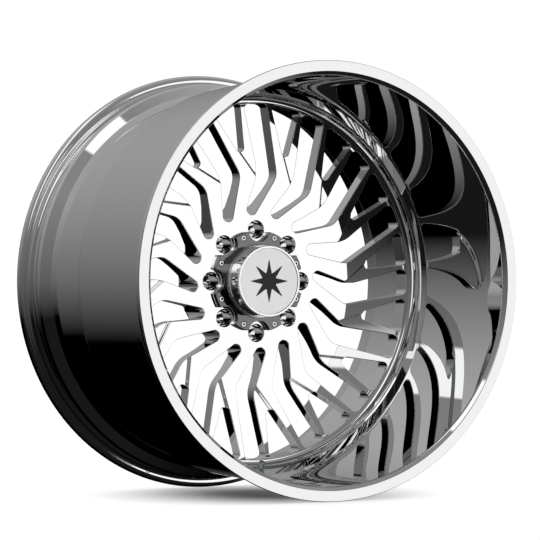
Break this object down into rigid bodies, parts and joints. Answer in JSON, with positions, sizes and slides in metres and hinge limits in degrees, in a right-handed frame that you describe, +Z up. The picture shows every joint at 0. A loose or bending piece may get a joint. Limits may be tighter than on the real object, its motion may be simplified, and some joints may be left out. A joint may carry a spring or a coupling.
{
  "type": "forged wheel rim",
  "caption": "Deep-lip forged alloy wheel rim, polished: hooked split spokes set far back in a stepped barrel, bolt-on scalloped centre cap and clamp-in tyre valve.",
  "frame": {"origin": "on the wheel's axis, half-way between the outer faces of the two rim flanges", "axes": "the wheel turns about Y; -Y is the street side that shows the spokes and the centre cap, +Y the vehicle side; +Z is up, and the tyre valve sits at the bottom, 1.5 degrees clockwise past -Z seen from the street side"},
  "size_m": [0.695, 0.428, 0.695],
  "materials": {
    "polished_alloy": "mirror polished bare forged aluminium, clear lacquered",
    "cap_alloy": "mirror polished aluminium with fine turning marks",
    "screw_steel": "bright zinc or chrome plated steel, lightly turned",
    "valve_metal": "bright nickel plated brass",
    "brass": "plain turned brass",
    "spring_steel": "drawn spring wire",
    "rubber": "matt black moulded rubber",
    "pale_enamel": "smooth pale insert, satin gloss",
    "dark_enamel": "glossy black inlay"
  },
  "bodies": {
    "wheel": {"rim_barrel": "polished_alloy", "forged_centre": "polished_alloy", "valve_stem": "valve_metal", "valve_grommet": "rubber", "valve_washer": "valve_metal", "valve_nut": "valve_metal", "valve_core": "brass", "valve_spring": "spring_steel"},
    "cap": {"cap_base": "cap_alloy", "cap_ring": "cap_alloy", "emblem_plate": "pale_enamel", "emblem_inlay": "dark_enamel", "cap_oring": "rubber"},
    "screw_1": {"cap_screw_1": "screw_steel"},
    "screw_2": {"cap_screw_2": "screw_steel"},
    "screw_3": {"cap_screw_3": "screw_steel"},
    "screw_4": {"cap_screw_4": "screw_steel"},
    "screw_5": {"cap_screw_5": "screw_steel"},
    "screw_6": {"cap_screw_6": "screw_steel"},
    "screw_7": {"cap_screw_7": "screw_steel"},
    "screw_8": {"cap_screw_8": "screw_steel"},
    "pin": {"valve_pin": "brass"},
    "dust_cap_seal": {"valve_cap_seal": "rubber"},
    "dust_cap": {"valve_cap": "valve_metal"}
  },
  "joints": [
    {"name": "cap_pull", "type": "slide", "parent": "wheel", "child": "cap", "axis": [0, -1, 0], "range_m": [0, 0.06]},
    {"name": "screw_1_turn", "type": "hinge", "parent": "cap", "child": "screw_1", "pos_m": [0.0292, 0.02, 0.07049], "axis": [0, -1, 0], "continuous": true},
    {"name": "screw_2_turn", "type": "hinge", "parent": "cap", "child": "screw_2", "pos_m": [0.07049, 0.02, 0.0292], "axis": [0, -1, 0], "continuous": true},
    {"name": "screw_3_turn", "type": "hinge", "parent": "cap", "child": "screw_3", "pos_m": [0.07049, 0.02, -0.0292], "axis": [0, -1, 0], "continuous": true},
    {"name": "screw_4_turn", "type": "hinge", "parent": "cap", "child": "screw_4", "pos_m": [0.0292, 0.02, -0.07049], "axis": [0, -1, 0], "continuous": true},
    {"name": "screw_5_turn", "type": "hinge", "parent": "cap", "child": "screw_5", "pos_m": [-0.0292, 0.02, -0.07049], "axis": [0, -1, 0], "continuous": true},
    {"name": "screw_6_turn", "type": "hinge", "parent": "cap", "child": "screw_6", "pos_m": [-0.07049, 0.02, -0.0292], "axis": [0, -1, 0], "continuous": true},
    {"name": "screw_7_turn", "type": "hinge", "parent": "cap", "child": "screw_7", "pos_m": [-0.07049, 0.02, 0.0292], "axis": [0, -1, 0], "continuous": true},
    {"name": "screw_8_turn", "type": "hinge", "parent": "cap", "child": "screw_8", "pos_m": [-0.0292, 0.02, 0.07049], "axis": [0, -1, 0], "continuous": true},
    {"name": "pin_press", "type": "slide", "parent": "wheel", "child": "pin", "axis": [-0.0224, 0.5145, -0.8572], "range_m": [0, 0.0012], "stiffness_N_per_m": 30, "springref_m": -0.002, "deforming": ["valve_spring"]},
    {"name": "dust_cap_lift", "type": "slide", "parent": "wheel", "child": "dust_cap_seal", "axis": [0.0224, -0.5145, 0.8572], "range_m": [0, 0.00794]},
    {"name": "dust_cap_turn", "type": "hinge", "parent": "dust_cap_seal", "child": "dust_cap", "pos_m": [-0.00818, 0.01001, -0.31235], "axis": [0.0224, -0.5145, 0.8572], "range_deg": [0, 3601]}
  ],
  "couplings": [
    {"joint": "dust_cap_turn", "follows": "dust_cap_lift", "rad_per_m": 7913.3}
  ]
}
